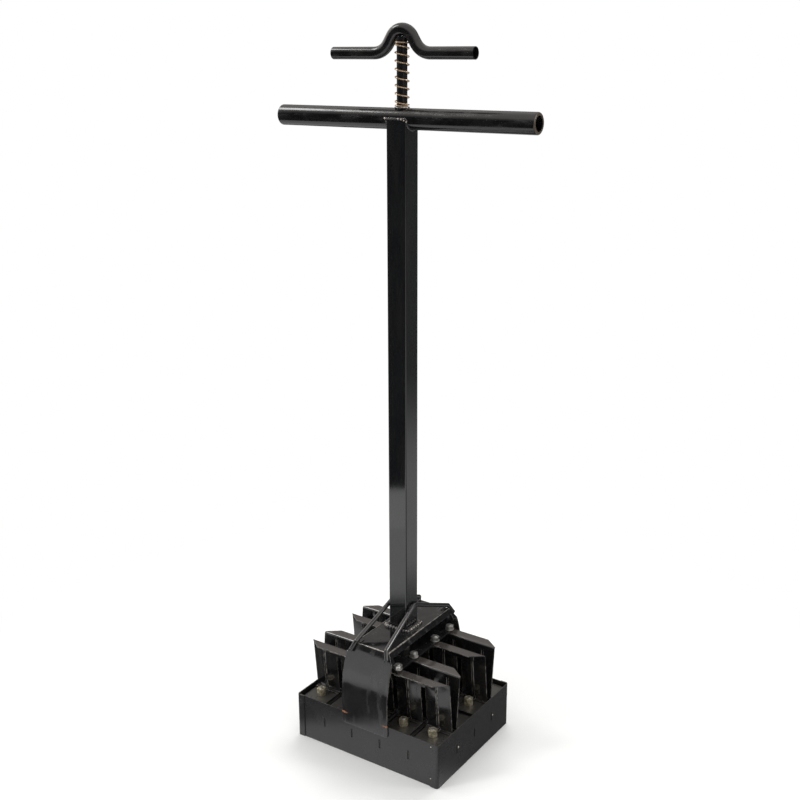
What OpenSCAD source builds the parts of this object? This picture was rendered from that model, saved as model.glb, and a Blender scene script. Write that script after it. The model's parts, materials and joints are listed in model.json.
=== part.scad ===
// Stand-up soil blocker: an open steel mould of square cells on a tall post.
// The origin is the centre of the mould's bottom rim, on the ground.
// +X runs along the mould's long side, +Y away from the viewer and +Z up.

/* [Mould box] */
// Clear width of one square cell
cell_w = 44.4; // [38:0.1:56]
// Height of the mould from rim to rim
mould_h = 63.5; // [50:0.5:80]
// Thickness of the mould's walls and dividers
sheet_t = 1.2; // [1:0.1:1.8]
// Depth of the dividers' upper edges below the top rim
divider_depth = 7.5; // [4:0.5:14]
// Length that an end wall wraps round onto a long wall
wrap_l = 11.5; // [6:0.5:16]
// Outer radius of the mould's four upright corners
corner_r = 4; // [3:0.5:6]
// Height of the tabs that lock the dividers into the walls
tab_h = 13; // [8:0.5:20]
// Height of the middle of those tabs above the bottom rim
tab_mid_z = 33.8; // [20:0.1:40]
// Width of the slots in the walls that the tabs pass through
slot_w = 2.6; // [2.4:0.1:4]
// Depth that the tabs end short of the walls' outer faces
tab_short = 0.5; // [0:0.1:0.8]
// Room left above and below each tab and at each crossing of the dividers
joint_gap = 0.2; // [0.1:0.05:0.4]

/* [Bridge] */
// Width of the bridge's two legs along the long side
bridge_w = 73; // [66:1:100]
// Width of the bridge's flat top along the long side
bridge_top_w = 54; // [44:1:60]
// Length of the bridge's flat top across the mould
bridge_top_l = 150; // [120:1:160]
// Height of the bridge's flat top above the ground
bridge_z = 162; // [160:1:190]
// Height that the bridge's cut-off top corners drop by
corner_drop = 14; // [8:0.5:17]
// Height that the sloping lips along the bridge's long sides drop by
lip_drop = 7; // [4:0.5:8]
// Height that the bridge's curved ends drop by, down to the upright legs
bend_drop = 72; // [40:1:75]
// Height that the bridge's legs reach down over the long walls
bridge_lap = 14.5; // [6:0.5:22]
// Thickness of the bridge's plate
bridge_t = 2.5; // [2:0.1:4]
// Diameter of the two brace rods
brace_d = 6; // [4:0.5:8]
// Height above the bridge at which the brace rods meet the post
brace_rise = 35; // [18:1:60]
// Height that the brace rods' hooked ends reach down over the bridge's ends
hook_drop = 9; // [6:1:20]
// Distance that each hooked end spreads outwards on its way down
hook_spread = 5; // [0:0.5:8]

/* [Post and main handle] */
// Side of the square post
post_w = 28; // [24:0.5:40]
// Wall thickness of the square post
post_t = 2; // [1.5:0.1:3]
// Height of the main handle's axis above the ground
handle_z = 834.4; // [700:1:950]
// Outer diameter of the main handle
handle_d = 25.4; // [22:0.1:32]
// Wall thickness of the main handle
handle_t = 2; // [1.5:0.1:3]
// Length of the main handle
handle_l = 366; // [300:1:450]
// Depth of the lip that is rolled inwards at each end of the main handle
lip_d = 1.7; // [0.5:0.1:3]
// Width of the fillet of weld round the post's foot
weld_w = 5; // [2:0.5:7]

/* [Push handle and rod] */
// Diameter of the push rod
rod_d = 12.7; // [10:0.1:16]
// Radial clearance of the rod in the two holes that guide it
rod_fit = 0.08; // [0.05:0.01:0.1]
// Outer diameter of the push handle's tube
push_d = 14.6; // [12:0.1:18]
// Wall thickness of the push handle's tube
push_t = 1.5; // [1:0.1:2.5]
// Length of the push handle from end to end
push_l = 200; // [170:1:260]
// Height of the push handle's arms above the main handle's axis
push_lift = 75.1; // [70:0.1:160]
// Rise of the hump in the middle of the push handle
hump_rise = 26.7; // [24:0.1:34]
// Room between the spring and the underside of the hump's bend
hump_room = 1.25; // [0.5:0.05:3]
// Bend radius where each arm turns up into the hump
shoulder_r = 24; // [14:0.5:26]
// Slope of the hump's sides in degrees
hump_angle = 58; // [50:1:58]

/* [Return spring] */
// Radial room between the push rod and the return spring
spring_room = 0.4; // [0.3:0.05:0.8]
// Diameter of the spring's wire
wire_d = 1.5; // [1:0.1:1.8]
// Number of turns of the spring
spring_turns = 9.5; // [5:0.5:12]
// Thickness of the washer below the spring
washer_t = 1.2; // [0.8:0.1:2]

/* [Ejector] */
// Room between the edge of each press plate and its cell's walls
plate_room = 3.2; // [0.6:0.1:3.6]
// Thickness of each press plate
plate_t = 2; // [1.5:0.1:3]
// Depth of the press plates below the top rim at rest
plate_depth = 5.5; // [3:0.5:6]
// Height of the flanges on top of the ejector rails
rail_z = 133.5; // [130:0.5:140]
// Thickness of the ejector rails
rail_t = 1.5; // [1.2:0.1:2]
// Distance from a long divider to the bend at the top of a rail
rail_bend_y = 12.1; // [10:0.1:16]
// Distance from a long divider to the foot of a rail
rail_foot_y = 4.4; // [4:0.1:8]
// Width of the flange on top of a rail
flange_w = 15.5; // [12:0.5:18]
// Width of the foot that a rail's leg rests on its press plate with
foot_w = 7; // [4:0.5:9]
// Gap between two neighbouring legs of a rail
leg_gap = 7; // [4:0.5:12]
// Height of the web that joins the legs under the flange
band_h = 16.5; // [12:0.5:18]
// Height of the pressed ridge down the middle of each leg
ridge_h = 3.2; // [1:0.1:5]
// Length that the outer corners of the flanges are cut back by
corner_cut = 18; // [8:1:26]
// Thickness of the crossbar that carries the rails
bar_t = 3; // [2:0.5:5]
// Distance from the rail bolts to the crossbar's edges
bolt_edge = 4.5; // [4:0.5:10]
// Distance that the crossbar ends short of the flanges' edges
bar_short = 1.2; // [0:0.1:4]
// Distance of the rail bolts from the middle of the crossbar
bolt_x = 34.5; // [28:0.5:35]
// Distance of the rail bolts from the bend at the top of their rails
bolt_run = 7; // [7:0.5:8]
// Outer diameter of the stop sleeve on the rod
stop_d = 19; // [16:0.5:26]

/* [Fasteners] */
// Diameter of the rail bolts
rail_bolt_d = 6; // [5:0.5:8]
// Width across the flats of the rail bolts' heads and nuts
rail_nut_af = 10; // [8:0.5:13]
// Diameter of the stud on top of each dibble pin
stud_d = 6; // [5:0.5:8]
// Width across the flats of the nuts on the dibble pins
stud_nut_af = 11; // [8:0.5:13]
// Height of each of those nuts
stud_nut_h = 5; // [3:0.5:6.5]
// Diameter of the dibble pins at the press plate
pin_d = 10; // [6:0.5:14]
// Length of the dibble pins below the press plate
pin_l = 10; // [6:0.5:14]
// Radial clearance between a bolt and its nut or hole
bolt_gap = 0.1; // [0.05:0.05:0.3]

/* [Hidden] */
$fn = 64;
cells_x = 5;
cells_y = 4;
SIDES_OF_WIRE = 8;
RINGS_PER_TURN = 18;
EPS = 0.01;

pitch = cell_w + sheet_t;
inner_l = cells_x * cell_w + (cells_x - 1) * sheet_t;
inner_w = cells_y * cell_w + (cells_y - 1) * sheet_t;
long_wall_y = inner_w / 2;
end_wall_x = inner_l / 2;
corner_inner_r = corner_r - sheet_t;
divider_h = mould_h - divider_depth;
row_y = [for (j = [0 : cells_y - 1]) (j - (cells_y - 1) / 2) * pitch];
column_x = [for (i = [0 : cells_x - 1]) (i - (cells_x - 1) / 2) * pitch];

plate_w = cell_w - 2 * plate_room;
plate_top_z = mould_h - plate_depth;
rail_end_gap = 3;
rail_half_l = inner_l / 2 - rail_end_gap;
leg_w = pitch - leg_gap;
bar_z = rail_z + bar_t;
bar_half_w = bolt_x + bolt_edge;
bar_half_l = (cells_y / 2 - 1) * pitch + rail_bend_y + flange_w - bar_short;
web_y = 1.1 * rail_t;
ridge_short = 7;
ridge_sink = 0.2;
bridge_half_l = inner_w / 2 + sheet_t + bridge_t;
bridge_under_z = bridge_z - bridge_t;
bridge_foot_z = mould_h - bridge_lap;
bridge_weld_l = bridge_w - 4;
bridge_weld_h = 2.5;
brace_z = bridge_z + brace_rise;
brace_bulge = 1.02;
bend_run = bridge_half_l - bridge_top_l / 2;
bend_r = (pow(bend_run, 2) + pow(bend_drop, 2)) / (2 * bend_run);
bend_z = bridge_z - bend_drop;

post_inner_w = post_w - 2 * post_t;
guide_r = rod_d / 2 + rod_fit;
cope_gap = 0.15;
handle_bead_over = 0.9;
handle_bead_d = max(post_w - handle_d, 0) + 2 * handle_bead_over;
handle_bead_drop = sqrt(max(pow(handle_d, 2) - pow(post_w, 2), 0)) / 2;
handle_bead_skin = 0.05;
spring_d = rod_d + 2 * spring_room + 2 * wire_d;
washer_d = spring_d + 2;
washer_hole_r = rod_d / 2 + 0.6;
spring_low_z = handle_z + handle_d / 2 + washer_t;
push_z = handle_z + push_lift;
hump_z = push_z + hump_rise;
hump_under_z = hump_z - push_d / 2;
spring_gap = 0.2;
hump_inner_r = spring_d / 2 + spring_gap + hump_room;
hump_r = hump_inner_r + push_d / 2;
spring_seat = hump_inner_r - sqrt(pow(hump_inner_r, 2) - pow(spring_d / 2 + spring_gap, 2));
spring_high_z = hump_under_z - spring_seat;
rod_top_z = hump_under_z - spring_gap;
rod_tail = 14;
rod_foot_z = rail_z - rod_tail;
rod_nut_af = 19;
rod_nut_h = 10;
stop_gap = 0.3;
slope_l = (hump_rise - (hump_r + shoulder_r) * (1 - cos(hump_angle))) / sin(hump_angle);
bend_swell = 0.06;
bend_reach = 0.3;
hump_half_w = (hump_r + shoulder_r) * sin(hump_angle) + slope_l * cos(hump_angle);

rail_washer_t = 1;
rail_nut_h = 5;
rail_head_h = 4;
rail_bolt_end = 1;
nose_step = 2.2;
stud_end = 1.5;

black_paint = [0.16, 0.16, 0.16];
dark_paint = [0.11, 0.11, 0.11];
zinc_yellow = [0.55, 0.52, 0.40];
zinc_bright = [0.70, 0.70, 0.68];
spring_gold = [0.72, 0.66, 0.50];

// ---- Mould box ----

// One flat long wall with a slot for each cross divider. side is -1 for the near one.
module long_wall(side) {
  wall_l = 2 * (end_wall_x - corner_inner_r);
  color(black_paint)
    difference() {
      translate([-wall_l / 2, side > 0 ? long_wall_y : -long_wall_y - sheet_t, 0])
        cube([wall_l, sheet_t, mould_h]);
      for (i = [1 : cells_x - 1])
        translate([(i - cells_x / 2) * pitch, side * (long_wall_y + sheet_t / 2), tab_mid_z])
          tab_slot(2 * sheet_t);
    }
}

// A slot that a divider's tab passes through, cut along Y through a wall of this depth.
module tab_slot(depth) {
  cube([slot_w, depth, tab_h + 2 * joint_gap], center = true);
}

// Plan of an end wall: a shallow channel with two round corners, wrapped round the long walls.
module channel_plan(x_far, half_w, radius, x_near) {
  translate([x_near, -half_w])
    square([x_far - radius - x_near, 2 * half_w]);
  translate([x_near, -half_w + radius])
    square([x_far - x_near, 2 * (half_w - radius)]);
  for (s = [-1, 1])
    translate([x_far - radius, s * (half_w - radius)])
      circle(r = radius);
}

module end_wall(side) {
  outer_half_w = long_wall_y + 2 * sheet_t;
  wrap_x = end_wall_x + sheet_t - wrap_l;
  color(black_paint)
    mirror([side > 0 ? 0 : 1, 0, 0])
      difference() {
        linear_extrude(height = mould_h)
          difference() {
            channel_plan(end_wall_x + sheet_t, outer_half_w, corner_r, wrap_x);
            channel_plan(end_wall_x, outer_half_w - sheet_t, corner_inner_r, wrap_x - 1);
          }
        for (j = [1 : cells_y - 1])
          translate([end_wall_x + sheet_t / 2, (j - cells_y / 2) * pitch, tab_mid_z])
            rotate([0, 0, 90])
              tab_slot(2 * sheet_t);
      }
}

// A divider along X, centred on Y: a plate with a locking tab at each end.
module divider_plate(length) {
  translate([-length / 2, -sheet_t / 2, 0])
    cube([length, sheet_t, divider_h]);
  tab_l = sheet_t - tab_short;
  translate([-length / 2 - tab_l, -sheet_t / 2, tab_mid_z - tab_h / 2])
    cube([length + 2 * tab_l, sheet_t, tab_h]);
}

// The slots by which the dividers cross, open at the top or at the bottom.
module crossing_slots(count, from_z) {
  cut_w = sheet_t + 2 * joint_gap;
  for (i = [1 : count - 1])
    translate([(i - count / 2) * pitch - cut_w / 2, -sheet_t, from_z])
      cube([cut_w, 2 * sheet_t, divider_h / 2 + joint_gap + 1]);
}

module cross_divider(i) {
  color(dark_paint)
    translate([(i - cells_x / 2) * pitch, 0, 0])
      rotate([0, 0, 90])
        difference() {
          divider_plate(inner_w);
          crossing_slots(cells_y, divider_h / 2 - joint_gap / 2);
        }
}

module long_divider(j) {
  color(dark_paint)
    translate([0, (j - cells_y / 2) * pitch, 0])
      difference() {
        divider_plate(inner_l);
        crossing_slots(cells_x, -1 - joint_gap / 2);
      }
}

// ---- Bridge, braces and welds ----

// Side view of the bridge across the mould, grown inwards by the depth given. Each end is one
// round bend that runs into an upright leg.
module bridge_side_view(depth) {
  half = bridge_half_l - depth;
  foot = bridge_foot_z - (depth > 0 ? 1 : 0);
  translate([-half, foot])
    square([2 * half, bend_z - foot]);
  intersection() {
    translate([-half, bend_z])
      square([2 * half, bend_drop - depth]);
    bridge_half_view(depth, 1);
    bridge_half_view(depth, -1);
  }
}

// All that lies behind the round bend at one end of the bridge.
module bridge_half_view(depth, side) {
  centre_y = bridge_half_l - bend_r;
  translate([side * centre_y, bend_z])
    circle(r = bend_r - depth);
  if (centre_y > -bridge_half_l / 4)
    translate([side > 0 ? -bridge_half_l : -centre_y, bend_z])
      square([bridge_half_l + centre_y, bend_drop]);
}

// End view of the bridge: its flat top, its two cut-off corners and its upright edges.
module bridge_end_view() {
  half = bridge_w / 2;
  edge = bridge_z - corner_drop;
  top_half = bridge_top_w / 2;
  polygon([
    [-half, bridge_foot_z], [-half, edge], [-top_half, bridge_z],
    [top_half, bridge_z], [half, edge], [half, bridge_foot_z]
  ]);
}

// End view of the space under the bridge: it takes in the whole height below the corners.
module bridge_end_space() {
  half = bridge_w / 2;
  slope = atan2(corner_drop, half - bridge_top_w / 2);
  edge = bridge_z - corner_drop;
  cut_x = half - bridge_t * sin(slope);
  cut_z = edge - bridge_t * cos(slope);
  top_half = bridge_top_w / 2 - bridge_t * tan(slope / 2);
  out = half + 5;
  foot = bridge_foot_z - 1;
  polygon([
    [-out, foot], [-out, edge], [-half, edge], [-cut_x, cut_z], [-top_half, bridge_under_z],
    [top_half, bridge_under_z], [cut_x, cut_z], [half, edge], [out, edge], [out, foot]
  ]);
}

// The open sides of the bridge, below the lips.
module bridge_side_openings() {
  open_l = bridge_top_l - 2 * bridge_t;
  open_h = bridge_z - lip_drop - bridge_foot_z;
  for (s = [-1, 1])
    translate([s * bridge_w / 2, 0, bridge_foot_z + open_h / 2])
      cube([bridge_w - bridge_top_w + 2 * bridge_t, open_l, open_h], center = true);
}

// A solid that has this side view, and the shape of the children from the end.
module bridge_block(depth) {
  span = 2 * bridge_half_l;
  intersection() {
    translate([-span / 2, 0, 0])
      rotate([90, 0, 90])
        linear_extrude(height = span)
          bridge_side_view(depth);
    translate([0, span / 2, 0])
      rotate([90, 0, 0])
        linear_extrude(height = span)
          children();
  }
}

module bridge() {
  color(black_paint)
    difference() {
      bridge_block(0)
        bridge_end_view();
      bridge_block(bridge_t)
        bridge_end_space();
      bridge_side_openings();
      translate([0, 0, bridge_under_z - 1])
        cylinder(r = guide_r, h = bridge_t + 2);
    }
}

// A straight fillet of weld along X, in the corner between a wall and a floor.
module straight_weld(length, width, height) {
  translate([-length / 2, 0, 0])
    rotate([90, 0, 90])
      linear_extrude(height = length)
        polygon([[0, 0], [width, 0], [0, height]]);
}

module bridge_welds() {
  color(dark_paint)
    for (s = [-1, 1])
      translate([0, s * (long_wall_y + sheet_t), bridge_foot_z])
        mirror([0, s > 0 ? 0 : 1, 0])
          mirror([0, 0, 1])
            straight_weld(bridge_weld_l, bridge_t, bridge_weld_h);
}

// A round rod that is bent at each point of a path.
module bent_rod(points, radius) {
  for (i = [0 : len(points) - 2]) {
    run = points[i + 1] - points[i];
    length = norm(run);
    translate(points[i])
      rotate([0, acos(run[2] / length), atan2(run[1], run[0])])
        cylinder(r = radius, h = length);
  }
  for (i = [1 : len(points) - 2])
    translate(points[i])
      sphere(r = radius * brace_bulge);
}

module brace_rod(side) {
  r = brace_d / 2;
  lift = r + cope_gap;
  tip_z = bridge_z - hook_drop;
  tip_lean = asin((tip_z - bend_z) / bend_r);
  top_lean = asin(bend_drop / bend_r);
  corner_x = bridge_top_w / 2 - r;
  corner_y = bridge_top_l / 2 + lift * tan(45 - top_lean / 2);
  tip_y = bridge_half_l - bend_r * (1 - cos(tip_lean)) + lift / cos(tip_lean);
  points = [
    [corner_x + hook_spread, -tip_y, tip_z],
    [corner_x, -corner_y, bridge_z + lift],
    [post_w / 2 + lift, 0, brace_z],
    [corner_x, corner_y, bridge_z + lift],
    [corner_x + hook_spread, tip_y, tip_z]
  ];
  color(black_paint)
    mirror([side > 0 ? 0 : 1, 0, 0])
      bent_rod(points, r);
}

// ---- Post and main handle ----

// Plan of the post's outside: the corners are rounded by the wall thickness.
module post_plan() {
  square([post_w, post_inner_w], center = true);
  square([post_inner_w, post_w], center = true);
  for (x = [-1, 1])
    for (y = [-1, 1])
      translate([x, y] * post_inner_w / 2)
        circle(r = post_t);
}

module post() {
  color(black_paint)
    difference() {
      translate([0, 0, bridge_z])
        linear_extrude(height = handle_z - bridge_z)
          post_plan();
      translate([-post_inner_w / 2, -post_inner_w / 2, bridge_z - 1])
        cube([post_inner_w, post_inner_w, handle_z - bridge_z + 2]);
      translate([-post_w, 0, handle_z])
        rotate([0, 90, 0])
          cylinder(d = handle_d + 2 * cope_gap, h = 2 * post_w);
    }
}

module post_foot_weld() {
  color(dark_paint)
    translate([0, 0, bridge_z])
      for (a = [0 : 90 : 270])
        rotate([0, 0, a]) {
          translate([0, post_w / 2, 0])
            straight_weld(post_w, weld_w, weld_w);
          translate([post_w / 2, post_w / 2, 0])
            rotate_extrude(angle = 90)
              polygon([[0, 0], [weld_w, 0], [0, weld_w]]);
        }
}

// Half section of the main handle's wall, with its length along Y and its radius along X.
module handle_section() {
  r = handle_d / 2;
  half = handle_l / 2;
  translate([r - handle_t, -half + handle_t])
    square([handle_t, handle_l - 2 * handle_t]);
  for (s = [-1, 1]) {
    translate([r - handle_t - lip_d, s * (half - handle_t / 2) - handle_t / 2])
      square([lip_d + EPS, handle_t]);
    intersection() {
      translate([r - handle_t, s * (half - handle_t)])
        circle(r = handle_t);
      translate([r - handle_t, s * (half - handle_t / 2) - handle_t / 2])
        square([handle_t, handle_t]);
    }
  }
}

module main_handle() {
  color(black_paint)
    difference() {
      translate([0, 0, handle_z])
        rotate([0, 0, 90])
          rotate([90, 0, 0])
            rotate_extrude()
              handle_section();
      translate([0, 0, handle_z - handle_d])
        cylinder(r = guide_r, h = 2 * handle_d);
    }
}

module handle_weld() {
  skin = handle_bead_skin;
  bead_z = handle_z - handle_bead_drop + skin;
  color(dark_paint)
    difference() {
      for (s = [-1, 1])
        translate([-post_w / 2 + 1, s * (post_w / 2 + skin), bead_z])
          rotate([0, 90, 0])
            cylinder(d = handle_bead_d, h = post_w - 2);
      translate([-post_w, 0, handle_z])
        rotate([0, 90, 0])
          cylinder(d = handle_d + 2 * skin, h = 2 * post_w);
      translate([-post_w, -post_w / 2 - skin, handle_z - post_w])
        cube([2 * post_w, post_w + 2 * skin, post_w]);
    }
}

module spring_washer() {
  color(zinc_bright)
    translate([0, 0, handle_z + handle_d / 2])
      difference() {
        cylinder(d = washer_d, h = washer_t);
        translate([0, 0, -1])
          cylinder(r = washer_hole_r, h = washer_t + 2);
      }
}

// ---- Push handle, rod and spring ----

// Part of a round bend in the XZ plane, about the origin. It is a hair wider than the straight
// runs, which reach a little way into it, as a bent tube swells a little where it was bent.
module round_bend(radius, from, sweep, diameter) {
  rotate([90, 0, 0])
    rotate_extrude(angle = sweep, start = from)
      translate([radius, 0])
        circle(d = diameter + bend_swell);
}

// The push handle's outline as a solid bar of this diameter, running past its ends by over.
module push_bar(diameter, over) {
  bend_x = hump_r * sin(hump_angle);
  bend_z = hump_z - hump_r * (1 - cos(hump_angle));
  translate([0, 0, hump_z - hump_r])
    round_bend(hump_r, 90 - hump_angle, 2 * hump_angle, diameter);
  for (s = [-1, 1]) {
    translate([s * bend_x, 0, bend_z])
      rotate([0, s * (90 + hump_angle), 0])
        translate([0, 0, -bend_reach])
          cylinder(d = diameter, h = slope_l + 2 * bend_reach);
    translate([s * hump_half_w, 0, push_z + shoulder_r])
      round_bend(shoulder_r, s > 0 ? 270 - hump_angle : 270, hump_angle, diameter);
    translate([s * hump_half_w, 0, push_z])
      rotate([0, s * 90, 0])
        translate([0, 0, -bend_reach])
          cylinder(d = diameter, h = push_l / 2 - hump_half_w + bend_reach + over);
  }
}

module push_handle() {
  color(black_paint)
    difference() {
      push_bar(push_d, 0);
      push_bar(push_d - 2 * push_t, 1);
    }
}

// The rod's top is coped to the underside of the handle's hump.
module push_rod() {
  color(dark_paint)
    difference() {
      translate([0, 0, rod_foot_z])
        cylinder(d = rod_d, h = rod_top_z - rod_foot_z);
      push_bar(push_d + 2 * spring_gap, 0);
    }
}

// Height of the wire's centre at a turn of the helix: the end turns lie close together.
function coil_z(turn) =
  let (flat = wire_d * 1.05)
  let (low = spring_low_z + wire_d / 2 + 0.05)
  let (high = spring_high_z - wire_d / 2 - 0.05)
  let (pitch_z = (high - low - 2 * flat) / (spring_turns - 2))
  turn < 1 ? low + flat * turn
    : turn > spring_turns - 1 ? high - flat * (spring_turns - turn)
    : low + flat + pitch_z * (turn - 1);

module return_spring() {
  coil_r = (spring_d - wire_d) / 2;
  rings = spring_turns * RINGS_PER_TURN;
  points = [
    for (i = [0 : rings])
      let (turn = i / RINGS_PER_TURN)
      for (k = [0 : SIDES_OF_WIRE - 1])
        let (a = 360 * k / SIDES_OF_WIRE)
        let (r = coil_r + cos(a) * wire_d / 2)
        [r * cos(360 * turn), -r * sin(360 * turn), coil_z(turn) + sin(a) * wire_d / 2]
  ];
  sides = [
    for (i = [0 : rings - 1])
      for (k = [0 : SIDES_OF_WIRE - 1])
        let (a = i * SIDES_OF_WIRE + k)
        let (b = i * SIDES_OF_WIRE + (k + 1) % SIDES_OF_WIRE)
        [a, b, b + SIDES_OF_WIRE, a + SIDES_OF_WIRE]
  ];
  first_end = [for (k = [SIDES_OF_WIRE - 1 : -1 : 0]) k];
  last_end = [for (k = [0 : SIDES_OF_WIRE - 1]) rings * SIDES_OF_WIRE + k];
  color(spring_gold)
    polyhedron(points = points, faces = concat([first_end, last_end], sides), convexity = 10);
}

module stop_sleeve() {
  color(dark_paint)
    translate([0, 0, bar_z])
      difference() {
        cylinder(d = stop_d, h = bridge_under_z - stop_gap - bar_z);
        translate([0, 0, -1])
          cylinder(d = rod_d + 2 * bolt_gap, h = bridge_under_z);
      }
}

// ---- Ejector ----

// The side of its pair, and the long divider, that each rail belongs to.
function rail_side(n) = n % 2 == 1 ? -1 : 1;
function rail_divider_y(n) = (n <= 2 ? -1 : 1) * (cells_y / 2 - 1) * pitch;

module crossbar() {
  color(black_paint)
    difference() {
      translate([-bar_half_w, -bar_half_l, rail_z])
        cube([2 * bar_half_w, 2 * bar_half_l, bar_t]);
      translate([0, 0, rail_z - 1])
        cylinder(d = rod_d + 2 * bolt_gap, h = bar_t + 2);
      for (n = [1 : 4])
        for (s = [-1, 1])
          translate([s * bolt_x, bolt_y(n), rail_z - 1])
            cylinder(d = rail_bolt_d + 2 * bolt_gap, h = bar_t + 2);
    }
}

function bolt_y(n) = rail_divider_y(n) + rail_side(n) * (rail_bend_y + bolt_run);

// Hexagonal prism with a round hole through it.
module hex_nut(flats, height, hole) {
  difference() {
    cylinder(d = flats / cos(30), h = height, $fn = 6);
    translate([0, 0, -1])
      cylinder(d = hole, h = height + 2);
  }
}

module rod_nut() {
  color(zinc_bright)
    translate([0, 0, rail_z - rod_nut_h])
      hex_nut(rod_nut_af, rod_nut_h, rod_d + 2 * bolt_gap);
}

module at_rail_bolts() {
  for (n = [1 : 4])
    for (s = [-1, 1])
      translate([s * bolt_x, bolt_y(n), 0])
        children();
}

module rail_bolts() {
  head_z = rail_z - rail_t - rail_head_h;
  top_z = bar_z + rail_washer_t + rail_nut_h + rail_bolt_end;
  color(zinc_bright)
    at_rail_bolts() {
      translate([0, 0, head_z])
        cylinder(d = rail_nut_af / cos(30), h = rail_head_h, $fn = 6);
      translate([0, 0, head_z + EPS])
        cylinder(d = rail_bolt_d, h = top_z - head_z);
    }
}

module rail_washers() {
  color(zinc_bright)
    at_rail_bolts()
      translate([0, 0, bar_z])
        difference() {
          cylinder(d = rail_nut_af + 2, h = rail_washer_t);
          translate([0, 0, -1])
            cylinder(d = rail_bolt_d + 2 * bolt_gap, h = rail_washer_t + 2);
        }
}

module rail_nuts() {
  color(zinc_bright)
    at_rail_bolts()
      translate([0, 0, bar_z + rail_washer_t])
        rotate([0, 0, 20])
          hex_nut(rail_nut_af, rail_nut_h, rail_bolt_d + 2 * bolt_gap);
}

// Section of a rail whose flange points to -Y: the flange, the leaning web and the foot.
module rail_section() {
  top_y = -rail_bend_y;
  foot_y = -rail_foot_y;
  polygon([
    [top_y - flange_w, rail_z - rail_t],
    [top_y - flange_w, rail_z],
    [top_y, rail_z],
    [foot_y, plate_top_z],
    [foot_y - foot_w, plate_top_z],
    [foot_y - foot_w, plate_top_z + rail_t],
    [foot_y - web_y, plate_top_z + rail_t],
    [top_y - web_y, rail_z - rail_t]
  ]);
}

// The ridge pressed into one leg: a shallow wedge that leans with the web.
module leg_ridge() {
  lean = atan2(rail_bend_y - rail_foot_y, rail_z - plate_top_z);
  skin_y = -rail_foot_y - web_y + ridge_sink;
  length = (rail_z - plate_top_z - rail_t - ridge_short) / cos(lean);
  translate([0, skin_y, plate_top_z + rail_t + 2 * ridge_sink])
    rotate([lean, 0, 0])
      linear_extrude(height = length)
        polygon([[-leg_w / 2, 0], [0, -ridge_h], [leg_w / 2, 0]]);
}

module rail_body() {
  gap_h = rail_z - band_h - plate_top_z + 1;
  difference() {
    union() {
      translate([-rail_half_l, 0, 0])
        rotate([90, 0, 90])
          linear_extrude(height = 2 * rail_half_l)
            rail_section();
      for (x = column_x)
        translate([x, 0, 0])
          leg_ridge();
    }
    for (i = [1 : cells_x - 1])
      translate([(i - cells_x / 2) * pitch - leg_gap / 2, -3 * rail_bend_y, plate_top_z - 1])
        cube([leg_gap, 4 * rail_bend_y, gap_h]);
    for (s = [-1, 1])
      mirror([s > 0 ? 0 : 1, 0, 0])
        translate([rail_half_l, -rail_bend_y - flange_w, rail_z - rail_t - 1])
          linear_extrude(height = rail_t + 2)
            polygon([[1, -1], [1, flange_w - 2], [0, flange_w - 2], [-corner_cut, 0], [-corner_cut, -1]]);
  }
}

module ejector_rail(n) {
  color(black_paint)
    translate([0, rail_divider_y(n), 0])
      mirror([0, rail_side(n) > 0 ? 1 : 0, 0])
        difference() {
          rail_body();
          for (s = [-1, 1])
            translate([s * bolt_x, -rail_bend_y - bolt_run, rail_z - rail_t - 1])
              cylinder(d = rail_bolt_d + 2 * bolt_gap, h = rail_t + 2);
        }
}

// Press plates are counted along X first, then row by row away from the viewer.
module press_plate(n) {
  x = column_x[(n - 1) % cells_x];
  y = row_y[floor((n - 1) / cells_x)];
  color(black_paint)
    translate([x, y, plate_top_z - plate_t])
      difference() {
        translate([-plate_w / 2, -plate_w / 2, 0])
          cube([plate_w, plate_w, plate_t]);
        translate([0, 0, -1])
          cylinder(d = stud_d + 2 * bolt_gap, h = plate_t + 2);
      }
}

module in_each_cell() {
  for (y = row_y)
    for (x = column_x)
      translate([x, y, 0])
        children();
}

module dibble_pins() {
  nose_r = pin_d / 2 - nose_step;
  stud_h = plate_t + 2 * stud_nut_h + stud_end;
  color(zinc_bright)
    in_each_cell()
      translate([0, 0, plate_top_z - plate_t])
        rotate_extrude()
          polygon([[0, -pin_l], [nose_r, -pin_l], [pin_d / 2, -pin_l / 3], [pin_d / 2, 0],
            [stud_d / 2, 0], [stud_d / 2, stud_h], [0, stud_h]]);
}

module dibble_nuts() {
  color(zinc_yellow)
    in_each_cell()
      translate([0, 0, plate_top_z])
        rotate([0, 0, 12])
          hex_nut(stud_nut_af, stud_nut_h, stud_d + 2 * bolt_gap);
}

module dibble_lock_nuts() {
  color(zinc_yellow)
    in_each_cell()
      translate([0, 0, plate_top_z + stud_nut_h])
        rotate([0, 0, 38])
          hex_nut(stud_nut_af, stud_nut_h, stud_d + 2 * bolt_gap);
}

long_wall(-1);  // near_wall
long_wall(1);  // far_wall
end_wall(-1);  // left_end_wall
end_wall(1);  // right_end_wall
for (i = [1 : cells_x - 1])
  cross_divider(i);
for (j = [1 : cells_y - 1])
  long_divider(j);
bridge();
bridge_welds();
brace_rod(-1);  // left_brace_rod
brace_rod(1);  // right_brace_rod
post();
post_foot_weld();
main_handle();
handle_weld();
spring_washer();
push_handle();
push_rod();
return_spring();
stop_sleeve();
crossbar();
rod_nut();
rail_bolts();
rail_nuts();
rail_washers();
for (n = [1 : 4])
  ejector_rail(n);
for (n = [1 : cells_x * cells_y])
  press_plate(n);
dibble_pins();
dibble_nuts();
dibble_lock_nuts();
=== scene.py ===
import json
import math
import random

import bpy
from mathutils import Matrix, Vector


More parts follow.
